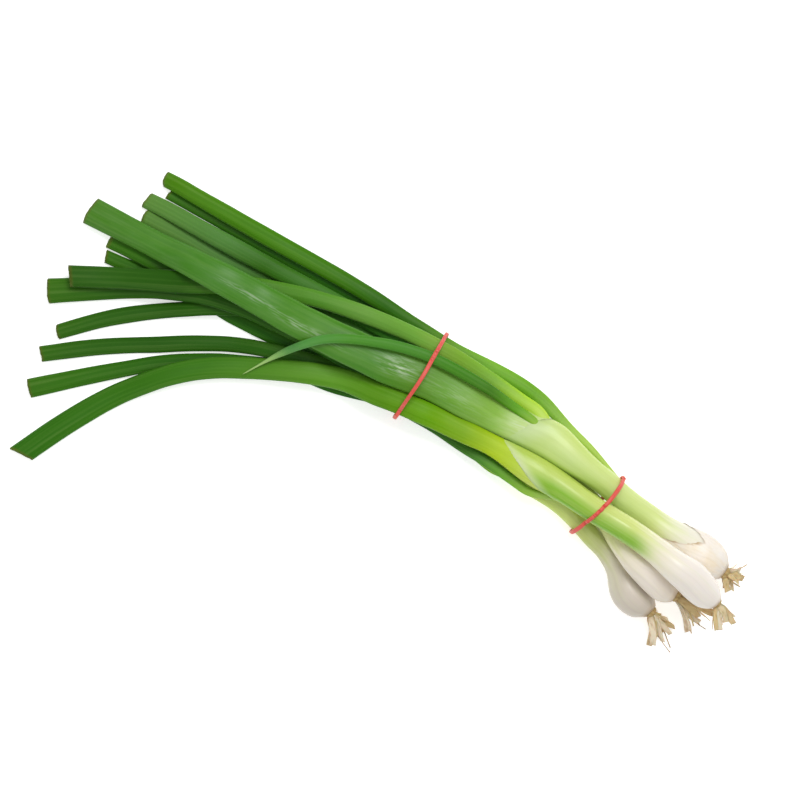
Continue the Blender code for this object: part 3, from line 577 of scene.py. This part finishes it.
def makeLeaf(name, seed):
    # P(s, phi) = path(s) + half width * across(phi) * side + half thickness * upward(phi) * up. Slow waves
    # vary width, thickness and roll. At the cut end the skin turns in and runs back as the inner wall
    look, form, number = leafLooks[name], leafForm, int(name[6])
    rows = rootedStrand(name)
    s = along(rows[:, :3])
    ahead, side, up = frameAlong(rows[:, :3])
    phi = circle(form["around"])
    free = smoothStep(*form["free"], s)
    across = np.cos(phi)[None] + 0 * s[:, None]
    upward = np.where(np.sin(phi) < 0, np.sin(phi) * (1 - look["flat"]), np.sin(phi))[None]
    shaped = look["ridge"] * bell(phi, *form["ridge"]) - look["groove"] * bell(phi, *form["groove"])
    upward = upward + shaped[None] * free[:, None]
    lower = np.where(np.sin(phi) < 0, look["flat"], 0)[None] * (1 - free[:, None])
    upward = upward + lower * np.sin(phi)[None]
    (wander, wanderRun), (ripple, rippleRun) = form["wander"], form["ripple"]
    rolled, rollRun = form["roll"]
    halfW = rows[:, 3] / 2 * (1 + wander * waves(s, seed, wanderRun) * free) + form["plump"] * free
    halfT = (rows[:, 4] / 2 * (1 + (form["thin"] - 1) * free)
             * (1 + ripple * waves(s, seed + 50, rippleRun) * free))
    pointed = name == youngLeaf
    if pointed:  # the young leaf narrows to a withered point
        left = s[-1] - s
        fade = (np.sqrt(np.clip(left / form["tip"][0], 0.01, 1))
                * (0.3 + 0.7 * smoothStep(*form["tip"], left)))
        halfW, halfT = halfW * fade, halfT * np.sqrt(fade)
    roll = (rolled * waves(s, seed + 90, rollRun) * free)[:, None]
    a, b = halfW[:, None] * across, halfT[:, None] * upward
    skin = kept(section(rows[:, None, :3], a * np.cos(roll) - b * np.sin(roll),
                        a * np.sin(roll) + b * np.cos(roll), side[:, None], up[:, None]))
    girth = np.pi * (halfW + halfT).mean() * 100
    uv = np.stack([phi[None] / (2 * np.pi) * girth + 0 * s[:, None], s[:, None] * 100 + 0 * phi[None]],
                  axis=-1)
    layers = {"place": placeOf(skin[..., 0], number, look["ahead"]), "rim": 0 * a, "inside": 0 * a,
              "top": np.clip(np.sin(phi), 0, 1)[None] ** 1.5 + 0 * a, "streakAndShade": 0 * a, "filmAndHighlight": 0 * a,
              "scuff": 0 * a}
    for x, turned, reach, spread, strength in look["scuffs"]:
        spot = bell(skin[..., 0] / mm, x, reach) * bell(np.degrees(phi), turned, spread)
        layers["scuff"] = layers["scuff"] + strength * spot
    if pointed:
        layers["streakAndShade"] = smoothStep(s[-1] - 0.03, s[-1] - 0.008, s)[:, None] + 0 * a
        mesh = gridMesh(name, skin, uv, layers, caps=(0, len(s) - 1))
        addPiece(name + "_skin", mesh, skins[look["skin"]], "young_leaf", name)
        return
    own = np.random.default_rng(seed)
    slant = (own.uniform(-cutForm["slant"], cutForm["slant"], 2) + [look["cut"], 0.0]) * mm
    notch, notchRun = cutForm["notch"]
    ragged = (slant[0] * np.cos(phi) + slant[1] * np.sin(phi) + notch * waves(phi, seed + 7, notchRun)
              + cutForm["fray"] * own.normal(size=len(phi)) - cutForm["back"])
    near = smoothStep(s[-1] - cutForm["reach"], s[-1], s)[:, None]
    skin += (near * ragged)[..., None] * ahead[:, None]
    layers["rim"] = smoothStep(s[-1] - cutForm["rim"], s[-1], s)[:, None] ** 4 + 0 * a
    depths = np.array(cutForm["depths"]) * mm
    picks = np.array([np.argmin(np.abs(s - (s[-1] - d))) for d in depths])
    wall = np.where(depths < 0.2 * mm, 0.4, 1.0) * form["wall"]
    keepT = np.maximum(1 - wall / halfT[picks], 0.35)[:, None]
    keepW = (1 - wall / halfW[picks])[:, None]
    inner = section(rows[picks][:, None, :3], a[picks] * keepW, b[picks] * keepT, side[picks][:, None],
                    up[picks][:, None])
    inner += (near[picks] * ragged)[..., None] * ahead[picks][:, None]
    skin = np.concatenate([skin, kept(inner, cutForm["innerLow"])])
    uv = np.concatenate([uv, uv[picks] + depths[:, None, None] * [0, 200]])
    layers = {key: np.concatenate([values, values[picks]]) for key, values in layers.items()}
    layers["inside"][-len(depths):] = np.clip(depths / (1.0 * mm), 0, 1)[:, None]
    mesh = gridMesh(name, skin, uv, layers, caps=(0, len(skin) - 1))
    addPiece(name + "_skin", mesh, skins[look["skin"]], "leaf", name)


for k, name in enumerate(leafNames):
    makeLeaf(name, 100 + 13 * k)
say("leaves made")


def stalkPoints(number, s, phi, swell):
    # P(s, phi) = path(s) + (half width + swell) cos(phi) side + (half thickness + swell) sin(phi) up, where
    # s may differ from column to column, which gives slanting edges; ribs ripple the radius round the stalk
    rows, _ = wrappedStrand(number)
    rows = resampled(rows, stalkForm["step"])
    run = along(rows[:, :3])
    _, side, up = frameAlong(rows[:, :3])
    table = np.column_stack([rows, side, up])
    at = np.stack([np.interp(s, run, column) for column in table.T], axis=-1)
    length = along(stalkStrands[number][:, :3])[-1]
    free = 1 - smoothStep(length - 20 * mm, length - 6 * mm, s)
    ribs = 1 + stalkForm["ribs"] * (waves(phi / (2 * np.pi), 300 + number, 0.25) * 0.7
                                    + 0.5 * np.cos(9 * phi + number)) * smoothStep(0.0, 0.02, s) * free
    slow = 1 + stalkForm["wander"] * waves(s, 400 + number, 0.05) * np.cos(phi - number) * free
    halfW = at[..., 3] / 2 * ribs * slow + swell
    halfT = at[..., 4] / 2 * ribs * slow + swell
    return kept(section(at[..., :3], halfW * np.cos(phi), halfT * np.sin(phi), at[..., 5:8], at[..., 8:11]))


def stalkLayers(number, skin, s, phi, edge):
    # Brown close to the roots, a green streak on one flank of the stem, which on onion 1 is painted shade,
    # grey wax on upward faces, partly a painted sheen, and dry film on upward faces, partly a painted
    # highlight, that grows towards the sheath's edge
    look, x, facing = onionLooks[number], skin[..., 0] / mm, np.clip(np.sin(phi), 0, 1)
    low = 1 - smoothStep(0.2 * mm, 3.4 * mm, s)
    streakAndShade = (look["streakAndShade"] * bell(np.cos(phi - 0.25 * np.pi), 1.0, 0.35)
              * smoothStep(-132, -118, x) * (1 - smoothStep(-75, -55, x)))
    filmLength, filmStrength = look["filmAndHighlight"]
    # On the stalk the wax on upward faces is partly a painted sheen
    return {"place": placeOf(skin[..., 0] + 2 * mm * np.cos(phi - 1.0), number), "rim": 0.8 * low ** 2,
            "inside": 0 * s, "top": facing ** 1.5 * smoothStep(-125, -105, x), "streakAndShade": streakAndShade,
            "scuff": 0 * s,
            "filmAndHighlight": filmStrength * facing * smoothStep(edge - filmLength * mm, edge - 1 * mm, s)}


def makeStalk(number):
    # Rings from the root end to the slanting edge, where the skin folds in and runs back inside
    name, look, form = f"onion_{number}_stalk", onionLooks[number], stalkForm
    length = along(stalkStrands[number][:, :3])[-1]
    phi = circle(form["around"])
    edge = (length - look["edge"] * mm + look["slant"] * mm * np.cos(phi - math.radians(look["side"]))
            + 0.5 * mm * waves(phi, 500 + number, 1.6))
    share = np.linspace(0, 1, int(length / form["step"]))[:, None]
    s = share * edge[None]
    around = phi[None] + 0 * s
    skin = stalkPoints(number, s, around, -form["press"] * smoothStep(edge - form["pressed"], edge, s))
    fold = np.array(form["folds"])[:, None] * mm
    inset = -form["press"] - form["wall"] + 0 * fold * phi
    inward = stalkPoints(number, edge[None] - fold, phi[None] + 0 * fold, inset)
    inward[-1] = stalkPoints(number, edge[None] - fold[-1:], phi[None], -form["sink"] + 0 * phi[None])
    tuck = skin[:1].mean(axis=1, keepdims=True)
    tuck = tuck + (skin[:1] - tuck) * 0.6 + (skin[1:2] - skin[:1]).mean(axis=1, keepdims=True) * 0.8
    points = np.concatenate([tuck, skin, inward])
    runs = np.concatenate([s[:1], s, edge[None] - fold])
    turns = phi[None] + 0 * runs
    uv = np.stack([turns * 7 * mm * 100, runs * 100], axis=-1)
    layers = stalkLayers(number, points, runs, turns, edge)
    mesh = gridMesh(name, points, uv, layers, caps=(0, len(points) - 1))
    addPiece(name + "_skin", mesh, skins[look["skin"]], "stalk", name)


for number in stalkStrands:
    makeStalk(number)
say("stalks made")


# The dry outer skin of onion 1, torn off round the bulb: papery, cream, browned along part of the tear.
# The seam gives the tear's run: degrees round the bulb, then millimetres from its root end. "sheet" is the
# gap between its two surfaces. "weld" is wider than that, so the weld merges them into one open sheet
paperForm = {"number": 1, "rows": 40, "around": 144, "ragged": 0.9 * mm, "fray": 0.3 * mm, "lift": 0.22 * mm,
             "wrinkle": 0.12 * mm, "sheet": 0.1 * mm, "weld": 0.2 * mm, "browned": (95, 42),
             "seam": [(0, 31), (25, 34), (48, 33.5), (70, 28), (84, 23), (100, 19.5), (122, 16), (139, 20.5),
                      (165, 27), (220, 30), (300, 28), (360, 30)]}


def paperMaterial():
    # Dry papery skin: satin, cream with darker veins, browned where it is torn
    made, tree, shader = newMaterial("papery_skin")
    uv = uvOf(tree)
    torn = attributeOf(tree, "torn")
    veins = streaks(tree, uv, 7.0, 0.2, 3.0)
    patches = streaks(tree, uv, 0.8, 0.8, 4.0, 4.0)
    colour = ramp(tree, patches, [(0.3, "#f4eee8"), (0.5, "#f2eadf"), (0.7, "#ecdec4")])
    colour = mixed(tree, ranged(tree, veins, 0.5, 0.7, 0.0, 0.35), colour, linear("#e0cca2"))
    colour = mixed(tree, torn, colour, linear("#ab843f"))
    setNode(tree, shader, {"Roughness": 0.45, "Subsurface Weight": 0.2, "Subsurface Radius": (1.0, 0.9, 0.6),
                           "Subsurface Scale": 2 * mm},
            {"Base Color": colour, "Normal": bumped(tree, veins, 0.5, 0.4 * mm)})
    return made


def makePaper():
    # The bulb's own surface, lifted a little more towards the tear and wrinkled, from root end to tear
    number, form, made = paperForm["number"], paperForm, paperMaterial()
    phi = circle(form["around"])
    own = np.random.default_rng(77)
    turned = np.degrees(phi)
    edge = np.interp(turned, *np.array(form["seam"]).T) * mm
    edge += form["ragged"] * waves(phi / (2 * np.pi), 71, 0.3, 4) + form["fray"] * own.normal(size=len(phi))
    share = np.linspace(0.04, 1, form["rows"])[:, None]
    s = share * edge[None]
    around = phi[None] + 0 * s
    wrinkles = form["wrinkle"] * waves(around * 3 + s * 90, 73, 1.3)
    lift = form["lift"] * smoothStep(0.0, 0.25, share) + wrinkles
    lift = np.maximum(lift * (1 + 0.6 * smoothStep(0.9, 1.0, share)), 0.12 * mm * share)
    outer = stalkPoints(number, s, around, lift)
    inner = stalkPoints(number, s[::-1], around, lift[::-1] - form["sheet"])
    points = np.concatenate([outer, inner])
    runs = np.concatenate([s, s[::-1]])
    uv = np.stack([np.concatenate([around, around]) * 1.0, runs * 100], axis=-1)
    blotches = np.clip(0.6 + 0.5 * waves(phi, 75, 0.9), 0.1, 1) * bell(turned, *form["browned"])
    torn = smoothStep(-(0.5 + 2.6 * blotches) * mm, -0.2 * mm, runs - edge[None]) * (0.05 + 0.95 * blotches)
    mesh = gridMesh("papery_skin", points, uv, {"torn": torn})
    welded(mesh, form["weld"])
    addPiece("onion_1_papery_skin", mesh, made, "stalk")


def welded(mesh, distance):
    # merges points closer than the distance, such as a last row that lies on the first, and points the
    # faces outwards
    work = bmesh.new()
    work.from_mesh(mesh)
    bmesh.ops.remove_doubles(work, verts=work.verts, dist=distance)
    bmesh.ops.recalc_face_normals(work, faces=work.faces)
    work.to_mesh(mesh)
    work.free()
    mesh.shade_smooth()


makePaper()


def rubberMaterial():
    # Thin moulded rubber: coral red, dull, with a dusty bloom
    made, tree, shader = newMaterial("band_rubber")
    spot = addNode(tree, "ShaderNodeTexCoord").outputs["Object"]
    noise = addNode(tree, "ShaderNodeTexNoise", {"Scale": 420.0, "Detail": 3.0}, {"Vector": spot})
    dust = noise.outputs["Fac"]
    colour = mixed(tree, ranged(tree, dust, 0.35, 0.7, 0.0, 0.4), linear("#d84c40"), linear("#e4705f"))
    rough = ranged(tree, dust, 0.3, 0.7, 0.42, 0.6)
    setNode(tree, shader, {"Subsurface Weight": 0.15, "Subsurface Scale": mm},
            {"Base Color": colour, "Roughness": rough, "Normal": bumped(tree, dust, 0.3, 0.2 * mm)})
    return made


bandSkin = rubberMaterial()
# "sway" and "waver" move the band sideways in two and in five waves
bandForm = {"steps": 360, "around": 20, "width": 1.9 * mm, "thick": 1.15 * mm, "sway": 0.4 * mm,
            "waver": 0.08 * mm, "uneven": 0.06, "sameAngle": 0.004, "ringDepth": 0.3 * mm, "weld": 0.01 * mm}


def makeBand(name, seed):
    # The CAD ring's own outline, as a radius over the angle round its middle, carries a rounded flat section
    points, form = netOf(name)[0], bandForm
    middle = points.mean(axis=0)
    spread = np.linalg.svd(points - middle, full_matrices=False)[2]
    axis = spread[2] * np.sign(spread[2][0])
    beside = unit(np.cross([0, 0, 1.0], axis))
    up = np.cross(axis, beside)
    flat = np.stack([(points - middle) @ beside, (points - middle) @ up], axis=1)
    angle, radius = np.arctan2(flat[:, 1], flat[:, 0]), np.linalg.norm(flat, axis=1)
    turn = np.linspace(-np.pi, np.pi, form["steps"], endpoint=False)
    order = np.argsort(angle)
    a, r = angle[order], radius[order]
    group = np.r_[0, np.cumsum(np.diff(a) > form["sameAngle"])]
    groups = [group == g for g in range(group[-1] + 1)]
    middleOf = np.array([a[chosen].mean() for chosen in groups])
    deep = np.array([np.ptp(r[chosen]) for chosen in groups]) > form["ringDepth"]
    use = deep if deep.sum() > 12 else np.full(len(groups), True)
    line = 0
    for pick in (np.max, np.min):  # radius of the outer and of the inner loop; the line is their mean
        edge = np.array([pick(r[chosen]) for chosen in groups])
        line = line + np.interp(turn, middleOf[use], edge[use], period=2 * np.pi) / 2
    line = np.stack([line * np.cos(turn), line * np.sin(turn)], axis=1)
    centre = middle + line[:, :1] * beside + line[:, 1:] * up
    for _ in range(2):
        centre = (np.roll(centre, 1, axis=0) + 2 * centre + np.roll(centre, -1, axis=0)) / 4
    ahead = unit(np.roll(centre, -1, axis=0) - np.roll(centre, 1, axis=0))
    outward = np.cross(ahead, axis)
    phi = circle(form["around"])
    bulge = [np.abs(f(phi)) ** 0.7 * np.sign(f(phi)) for f in (np.cos, np.sin)]
    sway = form["sway"] * np.sin(turn * 2 + seed) + form["waver"] * np.sin(turn * 5 + 2 * seed)
    wide = form["width"] / 2 * (1 + form["uneven"] * np.sin(turn * 3 + seed))
    skin = kept(section(centre[:, None], sway[:, None] + wide[:, None] * bulge[0][None],
                        form["thick"] / 2 * bulge[1][None] + 0 * turn[:, None], axis, outward[:, None]))
    skin = np.concatenate([skin, skin[:1]])
    s = np.linspace(0, 12, len(skin))
    uv = np.stack([phi[None] * 0.1 + 0 * s[:, None], s[:, None] + 0 * phi[None]], axis=-1)
    mesh = gridMesh(name, skin, uv, {})
    welded(mesh, form["weld"])
    addPiece(name + "_rubber", mesh, bandSkin, "band", name)


for k, name in enumerate(("band_lower", "band_upper")):
    makeBand(name, k + 1.0)
say("bands made")


def rootMaterial():
    # Dried rootlets and the corky plate: light tan, dull, browner near the plate, streaked lengthwise
    made, tree, shader = newMaterial("dry_root")
    uv = uvOf(tree)
    near, tone = attributeOf(tree, "near"), attributeOf(tree, "tone")
    grain = streaks(tree, uv, 14.0, 1.6, 3.0)
    colour = ramp(tree, tone, [(0.0, "#a99a78"), (0.35, "#d2bd88"), (0.6, "#dccba2"), (1.0, "#e8dec9")])
    colour = mixed(tree, ranged(tree, grain, 0.45, 0.65, 0.0, 0.6), colour, linear("#a6854c"))
    colour = mixed(tree, numbers(tree, "MULTIPLY", near, ranged(tree, grain, 0.3, 0.6, 0.5, 1.0)), colour,
                   linear("#8f6a2c"))
    setNode(tree, shader, {"Roughness": 0.7, "Subsurface Weight": 0.15, "Subsurface Scale": mm},
            {"Base Color": colour, "Normal": bumped(tree, grain, 0.5, 0.3 * mm)})
    return made


rootSkin = rootMaterial()
# Rootlets keep the CAD tuft's courses. About three in four are strips, dried together. A thread has its
# heading in degrees, its length and its curl in millimetres
rootForm = {"wide": (2.0 * mm, 3.4 * mm), "narrow": (0.45 * mm, 0.8 * mm), "strips": 0.74, "thick": 0.34 * mm,
            "steps": 22, "around": 10, "hairs": 3, "hair": (0.22 * mm, 0.2 * mm),
            "hairSpread": (1.6, 1.6, 0.6), "bend": 0.25 * mm, "twist": 0.7, "plate": 3.1 * mm,
            "threads": {3: [(159, 24, -2.0), (161, 21, 1.0)], 4: [(143, 22, -1.5), (150, 20, 1.0)]}}
# How the CAD tuft is read: "beyond" is how much farther than a tip its neighbours may lie
tuftForm = {"tip": 5 * mm, "beyond": 0.9 * mm, "ring": 1.1 * mm, "step": 0.3 * mm, "points": 9,
            "plate": 4.5 * mm}


def rootCourses(name, start):
    # Each tip ring of the tuft is walked back ring by ring to the plate
    form = tuftForm
    points, links = netOf(name)
    reach = np.linalg.norm(points - start, axis=1)
    tips = [k for k in range(len(points)) if reach[k] > form["tip"]
            and all(reach[j] < reach[k] + form["beyond"] for j in links[k])]
    courses = []
    while tips:
        ring = {j for j in tips if np.linalg.norm(points[j] - points[tips[0]]) < form["ring"]}
        tips = [j for j in tips if j not in ring]
        seen, course = set(ring), [points[sorted(ring)].mean(axis=0)]
        while True:
            ring = set().union(*(links[k] for k in ring)) - seen
            ring = {k for k in ring if reach[k] < np.linalg.norm(course[-1] - start) - form["step"]}
            seen |= ring
            if not ring or len(ring) > form["points"]:
                break
            course.append(points[sorted(ring)].mean(axis=0))
            if reach[sorted(ring)].min() < form["plate"]:
                break
        if len(course) > 1:
            courses.append(np.array(course[::-1]))
    return courses


def rootGrid(course, wide, thick, twist, bend, steps, around):
    # P(t, phi) = course(t) + half width(t) cos(phi) across + half thickness(t) sin(phi) lift, where across
    # and lift turn about the course by a twist
    path = curveThrough(course, steps)
    t = np.linspace(0, 1, steps)
    path = path + bend * np.sin(np.pi * t)[:, None]
    _, side, up = frameAlong(path)
    turn = (twist[0] + twist[1] * t)[:, None]
    across = np.cos(turn) * side + np.sin(turn) * up
    lift = -np.sin(turn) * side + np.cos(turn) * up
    phi = circle(around)
    halfW = wide / 2 * (0.75 + 0.25 * smoothStep(0, 0.3, t)) * (1 + 0.12 * np.sin(9 * t + 20 * twist[0]))
    halfT = thick / 2 * (1 - 0.3 * t)
    grid = kept(section(path[:, None], halfW[:, None] * np.cos(phi), halfT[:, None] * np.sin(phi),
                        across[:, None], lift[:, None]))
    uv = np.stack([phi[None] * (halfW[:, None] * 30) + 0 * t[:, None],
                   100 * along(path)[:, None] + 0 * phi[None]], axis=-1)
    return grid, uv, t[:, None] + 0 * phi[None]


def threadCourse(start, out, heading, length, curl):
    # P(t) = start + length t ahead + curl sin(1.2 pi t) beside, sinking to just above the floor
    turned = math.radians(heading)
    ahead = np.array([math.cos(turned), math.sin(turned), 0])
    beside = np.array([-math.sin(turned), math.cos(turned), 0])
    t = np.linspace(0, 1, 6)[:, None]
    course = start + out * mm + ahead * length * mm * t + beside * curl * mm * np.sin(np.pi * t * 1.2)
    course[:, 2] = np.maximum(start[2] * (1 - t[:, 0]) ** 1.5, 1.2 * mm)
    return course


def makeRoots(number):
    # Threads, then each rootlet as a strip or a narrow root, with hairs on some, then the plate
    name, form = f"onion_{number}_roots", rootForm
    own = np.random.default_rng(900 + number)
    stalk = stalkStrands[number]
    out = unit(stalk[0, :3] - stalk[1, :3])
    start = stalk[0, :3]
    sides = (form["steps"], form["around"])
    parts = []
    for thread in form["threads"].get(number, []):  # long threads that curl over the surface
        course = threadCourse(start, out, *thread)
        wide = own.uniform(*form["narrow"])
        parts.append((*rootGrid(course, wide, form["thick"], (0.2, 0.5), np.zeros(3), *sides), 0.0))
    courses = rootCourses(name, start)
    for k, course in enumerate(courses):
        base = start + out * 1.0 * mm + (course[0] - start - out * ((course[0] - start) @ out)) * 0.5
        course = np.vstack([base, course])
        strip = own.random() < form["strips"]
        wide = own.uniform(*form["wide" if strip else "narrow"])
        twist = own.uniform(-form["twist"], form["twist"], 2)
        bend = own.normal(size=3) * form["bend"]
        grid = rootGrid(course, wide, form["thick"], twist, bend, *sides)
        parts.append((*grid, own.uniform(0.2, 1.0)))
        for _ in range(form["hairs"] if k % 3 == 0 else 0):
            pick = own.integers(1, len(course) - 1) if len(course) > 2 else 1
            tip = course[pick] + own.normal(size=3) * np.array(form["hairSpread"]) * mm
            middle = (course[pick - 1] + tip) / 2 + own.normal(size=3) * 0.4 * mm
            hair = np.array([course[pick - 1], middle, tip])
            grid = rootGrid(hair, *form["hair"], (0.0, 0.3), np.zeros(3), 8, 6)
            parts.append((*grid, own.uniform(0.3, 1)))
    plate = plateGrid(start, out, form["plate"], number)
    mesh = joinGrids(name, parts, plate)
    say(f"onion {number} has {len(courses)} rootlets")
    addPiece(name + "_tuft", mesh, rootSkin, "roots", name)


def plateGrid(start, out, radius, seed):
    # A low corky dome on the end of the bulb: radius falls and height rises in steps with a rough edge
    side = unit(np.cross([0, 0, 1.0], out))
    up = np.cross(out, side)
    phi = circle(36)
    profile = np.array([(-1.0, 0.8), (0.0, 0.95), (0.6, 1.0), (1.3, 0.93), (2.0, 0.72), (2.5, 0.4),
                        (2.7, 0.12)])
    rough = 1 + 0.05 * waves(phi / (2 * np.pi), 600 + seed, 0.2)[None] * np.ones((len(profile), 1))
    ring = radius * profile[:, 1:] * rough
    heights = start + profile[:, :1, None] * mm * out
    grid = kept(section(heights, ring * np.cos(phi), ring * np.sin(phi), side, up))
    uv = np.stack([phi[None] * 0.35 + 0 * ring, profile[:, :1] * 0.1 + 0 * ring], axis=-1)
    return grid[:, ::-1], uv[:, ::-1], 0 * ring, 0.35


def joinGrids(name, parts, plate):
    # every rootlet's own grid with its ends capped, in one mesh
    work = bmesh.new()
    for k, (grid, uv, t, tone) in enumerate(parts + [plate]):
        near = 0.8 * (1 - smoothStep(0.0, 0.3, t)) if k < len(parts) else 0.55 + 0 * t
        piece = gridMesh("part", grid, uv, {"near": near, "tone": tone + 0 * t}, caps=(0, len(grid) - 1))
        work.from_mesh(piece)
        bpy.data.meshes.remove(piece)
    mesh = bpy.data.meshes.new(name)
    bmesh.ops.recalc_face_normals(work, faces=work.faces)
    work.to_mesh(mesh)
    work.free()
    mesh.shade_smooth()
    return mesh


for number in stalkStrands:
    makeRoots(number)
say("roots made")

# The camera looks straight down and is rolled, so that the leaves run up to the left
cameraForm = {"roll": 151.0, "lens": 85.0, "distance": 0.882, "aimX": 0.0058, "aimY": -0.0353, "aimZ": 0.014}


def addCamera():
    turn = math.radians(cameraForm["roll"])
    right = Vector((math.cos(turn), -math.sin(turn), 0))
    above = Vector((math.sin(turn), math.cos(turn), 0))
    place = Matrix((right, above, Vector((0, 0, 1)))).transposed().to_4x4()
    height = cameraForm["aimZ"] + cameraForm["distance"]
    place.translation = Vector((cameraForm["aimX"], cameraForm["aimY"], height))
    lens = bpy.data.cameras.new("camera")
    lens.lens = cameraForm["lens"]
    lens.sensor_width = 36.0
    camera = newObject("camera", lens)
    camera.matrix_world = place
    bpy.context.scene.camera = camera
    return right, above


right, above = addCamera()


floorForm = {"size": 4.0, "grey": 0.93, "rough": 0.9, "glow": 0.5}


def addFloor():
    # a pale matt floor that glows a little, so that it stays white to its edges
    made, tree, shader = newMaterial("pale_floor")
    setNode(tree, shader, {"Base Color": (*[floorForm["grey"]] * 3, 1), "Roughness": floorForm["rough"],
                           "Emission Color": (1, 1, 1, 1), "Emission Strength": floorForm["glow"]}, {})
    size = floorForm["size"]
    mesh = bpy.data.meshes.new("floor")
    corners = [(-size, -size, 0), (size, -size, 0), (size, size, 0), (-size, size, 0)]
    mesh.from_pydata(corners, [], [(0, 1, 2, 3)])
    mesh.materials.append(made)
    floor = newObject("floor", mesh)


addFloor()

# Each light: power in watts, side of its square, and its place in metres: up the picture, right, and high
lightForm = {"overhead": (2.1, 0.8, (0, 0, 1.3)), "fill": (2.4, 0.9, (-0.8, -0.8, 0.9)),
             "key": (6.0, 0.4, (0.45, 0.25, 0.95))}
worldStrength = 0.42


def addLight(name, power, size, place):
    lamp = bpy.data.lights.new(name, "AREA")
    lamp.energy = power
    lamp.size = size
    made = newObject(name, lamp)
    made.location = place
    made.rotation_euler = (-place).to_track_quat("-Z", "Y").to_euler()


world = bpy.data.worlds.new("studio")
bpy.context.scene.world = world
world.use_nodes = True
world.node_tree.nodes["Background"].inputs["Color"].default_value = (1, 1, 1, 1)
world.node_tree.nodes["Background"].inputs["Strength"].default_value = worldStrength
for name, (power, size, (up, across, high)) in lightForm.items():
    addLight(name, power, size, above * up + right * across + Vector((0, 0, high)))
bpy.context.scene.view_settings.view_transform = "Standard"

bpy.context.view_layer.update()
say("done")
